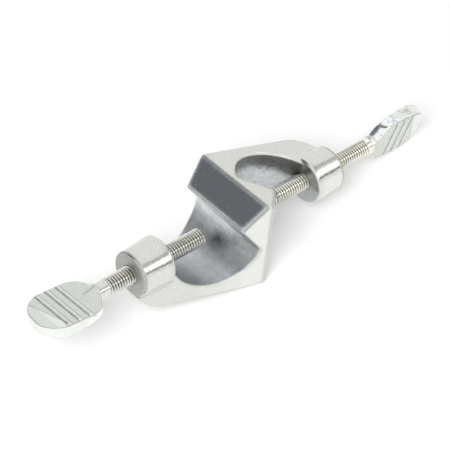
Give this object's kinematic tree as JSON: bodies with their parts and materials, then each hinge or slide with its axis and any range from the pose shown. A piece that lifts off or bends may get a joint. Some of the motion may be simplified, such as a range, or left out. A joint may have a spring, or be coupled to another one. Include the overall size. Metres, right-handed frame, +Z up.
{
  "type": "boss head clamp",
  "caption": "Cast laboratory boss head that joins a stand rod and a cross rod at right angles, each pressed into an open V jaw by its own thumb screw.",
  "frame": {"origin": "under the middle of the whole object, at the height of its lowest point", "axes": "X along both screws, towards the stand rod's screw; Y along the cross rod, away from the stand rod jaw's mouth; Z up along the stand rod"},
  "size_m": [0.1632, 0.0324, 0.0324],
  "materials": {
    "casting": "satin tumbled die casting",
    "stud": "bright nickel plate",
    "thumb_head": "satin casting"
  },
  "bodies": {
    "casting": {"boss_head_casting": "casting"},
    "stand_stud": {"stand_rod_stud": "stud"},
    "stand_head": {"stand_rod_thumb_head": "thumb_head"},
    "cross_stud": {"cross_rod_stud": "stud"},
    "cross_head": {"cross_rod_thumb_head": "thumb_head"}
  },
  "joints": [
    {"name": "stand_screw_advance", "type": "slide", "parent": "casting", "child": "stand_stud", "axis": [-1, 0, 0], "range_m": [-0.0144, 0.0108]},
    {"name": "stand_screw_turn", "type": "hinge", "parent": "stand_stud", "child": "stand_head", "pos_m": [-0.00265, 0.00001, 0.01619], "axis": [-1, 0, 0], "range_deg": [-5185, 3889]},
    {"name": "cross_screw_advance", "type": "slide", "parent": "casting", "child": "cross_stud", "axis": [1, 0, 0], "range_m": [-0.0172, 0.0079]},
    {"name": "cross_screw_turn", "type": "hinge", "parent": "cross_stud", "child": "cross_head", "pos_m": [-0.00265, 0.00001, 0.01619], "axis": [1, 0, 0], "range_deg": [-6193, 2845]}
  ],
  "couplings": [
    {"joint": "stand_screw_turn", "follows": "stand_screw_advance", "rad_per_m": 6283.2},
    {"joint": "cross_screw_turn", "follows": "cross_screw_advance", "rad_per_m": 6283.2}
  ]
}
